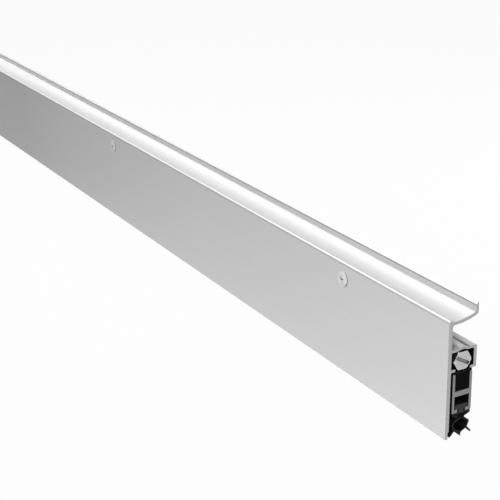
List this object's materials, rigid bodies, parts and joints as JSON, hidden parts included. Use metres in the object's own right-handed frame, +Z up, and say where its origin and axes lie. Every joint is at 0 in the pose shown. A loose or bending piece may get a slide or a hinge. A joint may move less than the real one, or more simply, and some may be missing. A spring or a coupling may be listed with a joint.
{
  "type": "automatic door bottom seal",
  "caption": "Face-fixed drop-down door bottom seal: a push rod and bell cranks lower a gasket bar from an aluminium case when a side plunger is pressed.",
  "frame": {"origin": "on the door's face, halfway along the case, at the height of the plunger's axis", "axes": "+X along the door to the plunger's end, +Y into the door, +Z up"},
  "size_m": [0.7421, 0.0263, 0.0654],
  "materials": {
    "satin_aluminium": "satin anodised",
    "screw_steel": "bright zinc plated",
    "plunger_steel": "turned, zinc plated",
    "zinc_steel": "zinc plated",
    "spring_steel": "oiled",
    "black_nylon": "moulded",
    "white_acetal": "moulded",
    "black_rubber": "extruded"
  },
  "bodies": {
    "housing": {"case": "satin_aluminium", "fixing_screws": "screw_steel", "bearing_block_near": "black_nylon", "bearing_block_far": "black_nylon", "pivot_pin_near": "zinc_steel", "pivot_pin_far": "zinc_steel", "block_screws": "screw_steel", "spring_stop": "black_nylon", "return_spring": "spring_steel"},
    "rod": {"push_rod": "zinc_steel", "nut_block": "white_acetal", "rod_rivets": "zinc_steel", "rod_pin_near": "zinc_steel", "rod_pin_far": "zinc_steel", "spring_seat": "white_acetal"},
    "plunger_guide": {"plunger_collar": "black_nylon"},
    "plunger": {"adjusting_plunger": "plunger_steel", "retaining_clip": "spring_steel"},
    "crank_near": {"bell_crank_near": "zinc_steel"},
    "crank_far": {"bell_crank_far": "zinc_steel"},
    "seal_bar": {"drop_bar": "satin_aluminium", "gasket": "black_rubber", "hanger_near": "zinc_steel", "hanger_far": "zinc_steel", "hanger_pin_near": "zinc_steel", "hanger_pin_far": "zinc_steel", "hanger_rivets": "zinc_steel", "end_plug_near": "black_nylon", "end_plug_far": "black_nylon"}
  },
  "joints": [
    {"name": "rod_push", "type": "slide", "parent": "housing", "child": "rod", "axis": [-1, 0, 0], "range_m": [0, 0.008], "stiffness_N_per_m": 600, "springref_m": -0.012, "deforming": ["return_spring"]},
    {"name": "bar_drop", "type": "slide", "parent": "housing", "child": "seal_bar", "axis": [0, 0, -1], "range_m": [0, 0.012]},
    {"name": "crank_near_swing", "type": "hinge", "parent": "housing", "child": "crank_near", "pos_m": [0.24, -0.00787, -0.008], "axis": [0, -1, 0], "range_deg": [0, 46.6]},
    {"name": "crank_far_swing", "type": "hinge", "parent": "housing", "child": "crank_far", "pos_m": [-0.24, -0.00787, -0.008], "axis": [0, -1, 0], "range_deg": [0, 46.6]},
    {"name": "guide_advance", "type": "slide", "parent": "rod", "child": "plunger_guide", "axis": [1, 0, 0], "range_m": [0, 0.006]},
    {"name": "adjuster_turn", "type": "hinge", "parent": "plunger_guide", "child": "plunger", "pos_m": [0.3711, -0.00787, 0], "axis": [1, 0, 0], "range_deg": [0, 2160]}
  ],
  "couplings": [
    {"joint": "bar_drop", "follows": "rod_push", "ratio": 1.5},
    {"joint": "crank_near_swing", "follows": "rod_push", "rad_per_m": 101.06},
    {"joint": "crank_far_swing", "follows": "rod_push", "rad_per_m": 101.06},
    {"joint": "guide_advance", "follows": "adjuster_turn", "m_per_rad": 0.00015915}
  ]
}
